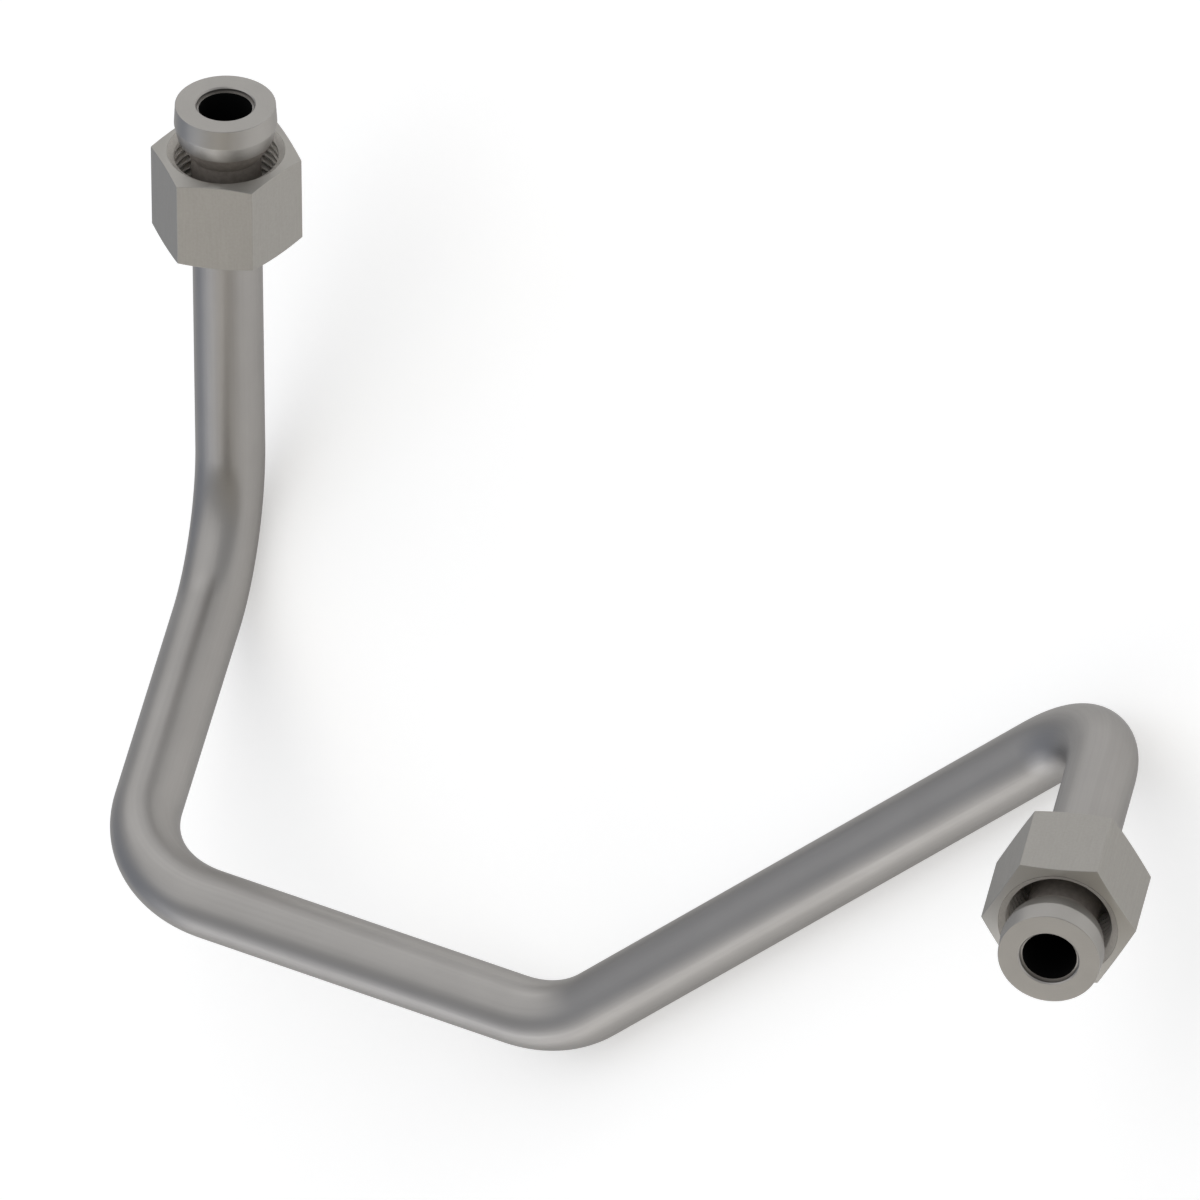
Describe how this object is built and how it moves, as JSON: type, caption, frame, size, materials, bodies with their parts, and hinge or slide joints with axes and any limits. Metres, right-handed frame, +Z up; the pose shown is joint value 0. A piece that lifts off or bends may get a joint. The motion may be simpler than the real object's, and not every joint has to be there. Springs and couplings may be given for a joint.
{
  "type": "bent tube assembly",
  "caption": "Rigid fluid line: a steel tube bent in several planes, with a flat-faced sleeve and a loose hexagonal union nut at each end.",
  "frame": {"origin": "middle of the bounding box in X and Y, on the table that the tube lies on", "axes": "+Z up from the table, +X along the longest leg towards its last bend, +Y towards the far end A"},
  "size_m": [0.2515, 0.2525, 0.0584],
  "materials": {
    "tube_steel": "drawn steel, satin",
    "sleeve_steel": "turned steel, satin",
    "nut_steel": "turned steel with milled flats, satin"
  },
  "bodies": {
    "tube_assembly": {"tube": "tube_steel", "sleeve_a": "sleeve_steel", "sleeve_b": "sleeve_steel"},
    "nut_a": {"nut_a": "nut_steel"},
    "nut_b": {"nut_b": "nut_steel"}
  },
  "joints": [
    {"name": "nut_a_turn", "type": "hinge", "parent": "tube_assembly", "child": "nut_a", "pos_m": [-0.06811, 0.10843, 0.0405], "axis": [0.6768, 0.5165, 0.5246], "continuous": true},
    {"name": "nut_b_turn", "type": "hinge", "parent": "tube_assembly", "child": "nut_b", "pos_m": [0.11114, -0.10532, 0.03891], "axis": [0.195, -0.8086, 0.5551], "continuous": true}
  ]
}
